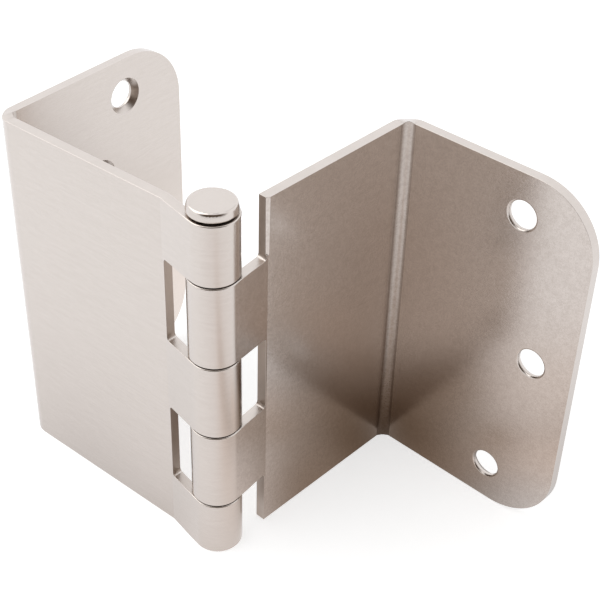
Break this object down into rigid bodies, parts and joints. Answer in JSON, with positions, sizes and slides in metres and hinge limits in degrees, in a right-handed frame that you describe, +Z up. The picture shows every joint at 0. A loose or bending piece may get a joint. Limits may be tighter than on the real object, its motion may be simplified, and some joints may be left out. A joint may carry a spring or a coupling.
{
  "type": "swing clear offset hinge",
  "caption": "Swing clear door hinge: two leaves each bent into an L, rolled knuckles on a headed pin, rounded flange corners and countersunk screw holes.",
  "frame": {"origin": "on the pin axis, at the level of the lower edges of both leaves", "axes": "+Z up along the pin axis towards the pin head, +X from the pin along the web of the jamb leaf, whose flange points to -Y"},
  "size_m": [0.0626, 0.1165, 0.0916],
  "materials": {
    "satin_nickel": "satin nickel plate on steel, fine brushing along the leaves and round the knuckles"
  },
  "bodies": {
    "jamb_side": {"jamb_leaf": "satin_nickel"},
    "door_side": {"door_leaf": "satin_nickel", "hinge_pin": "satin_nickel"}
  },
  "joints": [
    {"name": "door_swing", "type": "hinge", "parent": "jamb_side", "child": "door_side", "pos_m": [0, 0, 0], "axis": [0, 0, 1], "range_deg": [-93.6, 222]}
  ]
}
